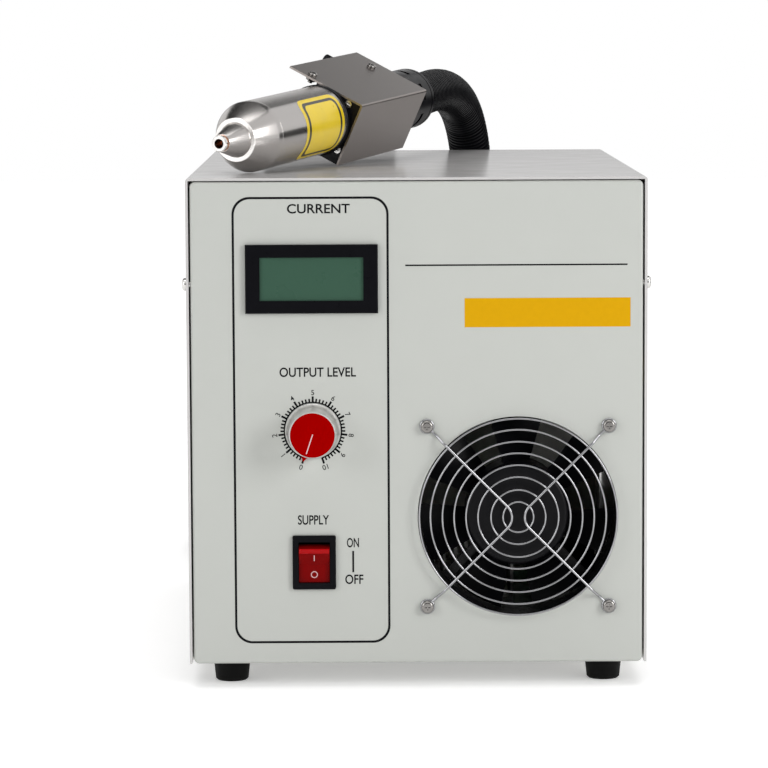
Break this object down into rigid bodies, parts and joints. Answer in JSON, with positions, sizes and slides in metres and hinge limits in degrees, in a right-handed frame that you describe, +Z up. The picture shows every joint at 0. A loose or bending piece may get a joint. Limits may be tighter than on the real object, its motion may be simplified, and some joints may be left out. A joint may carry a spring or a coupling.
{
  "type": "plasma cleaner with hand-held torch",
  "caption": "Bench plasma cleaner: a sheet-metal cabinet with a guarded fan, meter, dial and rocker switch, and a steel plasma torch on a corrugated hose.",
  "frame": {"origin": "on the standing surface, under the middle of the cabinet with its knobs and rear fittings", "axes": "+X to the viewer's right, -Y to the front panel, +Z up"},
  "size_m": [0.327, 0.7538, 0.364],
  "materials": {
    "cover_paint": "semi-gloss light grey powder coat",
    "panel_paint": "satin light grey paint",
    "plated_sheet": "zinc plated",
    "plated_steel": "bright nickel plated",
    "foot_rubber": "moulded black rubber",
    "cast_frame": "black painted die casting",
    "black_plastic": "satin black moulding",
    "black_gloss": "semi-gloss black moulding",
    "red_plastic": "satin red moulding",
    "meter_screen": "unlit grey-green display under a clear face",
    "chromed_wire": "bright chrome",
    "bright_aluminium": "turned, bright",
    "turned_steel": "fine turned stainless steel",
    "brushed_sheet": "brushed stainless sheet",
    "copper_tip": "turned copper",
    "brass": "turned brass",
    "white_insulator": "white ceramic",
    "black_hose": "corrugated black nylon",
    "iron_core": "varnished laminations",
    "winding": "yellow insulating tape",
    "board_green": "green lacquer",
    "blue_tube": "blue polyurethane"
  },
  "bodies": {
    "cabinet": {"cover": "cover_paint", "front_panel": "panel_paint", "rear_panel": "panel_paint", "base_tray": "plated_sheet", "cover_screws": "plated_steel", "tray_screws": "plated_steel", "foot_front_left": "foot_rubber", "foot_front_right": "foot_rubber", "foot_rear_left": "foot_rubber", "foot_rear_right": "foot_rubber", "foot_screws": "plated_steel", "fan_frame": "cast_frame", "fan_grille": "chromed_wire", "fan_screws": "chromed_wire", "fan_nuts": "plated_steel", "meter_bezel": "black_gloss", "meter_window": "meter_screen", "meter_body": "black_plastic", "potentiometer": "plated_steel", "pot_nut": "plated_steel", "switch_housing": "black_gloss", "switch_terminals": "brass", "power_inlet": "black_plastic", "inlet_screws": "plated_steel", "air_fitting": "brass", "earth_terminal": "brass", "rear_gland_body": "black_plastic", "rear_gland_nut": "black_plastic", "hose_tail": "black_hose", "hose_coil": "black_hose", "transformer_core": "iron_core", "transformer_coil": "winding", "power_board": "board_green", "board_standoffs": "brass", "heatsink": "bright_aluminium", "board_capacitors": "black_plastic", "valve_bracket": "plated_sheet", "solenoid_valve": "brass", "air_tube": "blue_tube"},
    "rotor": {"fan_rotor": "black_plastic"},
    "dial": {"dial_knob": "bright_aluminium", "dial_cap": "red_plastic", "knob_pointer": "red_plastic", "pot_shaft": "brass"},
    "switch_lever": {"rocker": "red_plastic"},
    "torch": {"nozzle_tip": "copper_tip", "nozzle": "turned_steel", "torch_nose": "turned_steel", "torch_body": "turned_steel", "insulator": "white_insulator", "electrode": "copper_tip", "torch_collar": "black_plastic", "torch_block": "black_plastic", "block_screws": "plated_steel", "torch_shield": "brushed_sheet", "shield_screws": "plated_steel", "side_plug": "black_plastic", "torch_gland_body": "black_plastic", "torch_gland_nut": "black_plastic", "hose_lead": "black_hose"}
  },
  "joints": [
    {"name": "fan_spin", "type": "hinge", "parent": "cabinet", "child": "rotor", "pos_m": [0.058, -0.17, 0.0996], "axis": [0, 1, 0], "continuous": true},
    {"name": "dial_turn", "type": "hinge", "parent": "cabinet", "child": "dial", "pos_m": [-0.0602, -0.21, 0.1498], "axis": [0, 1, 0], "range_deg": [0, 323]},
    {"name": "switch_rock", "type": "hinge", "parent": "cabinet", "child": "switch_lever", "pos_m": [-0.0599, -0.195, 0.0733], "axis": [-1, 0, 0], "range_deg": [0, 24]},
    {"name": "torch_lift", "type": "slide", "parent": "cabinet", "child": "torch", "axis": [0, 0, 1], "range_m": [0, 0.05], "deforming": ["hose_lead"]}
  ]
}
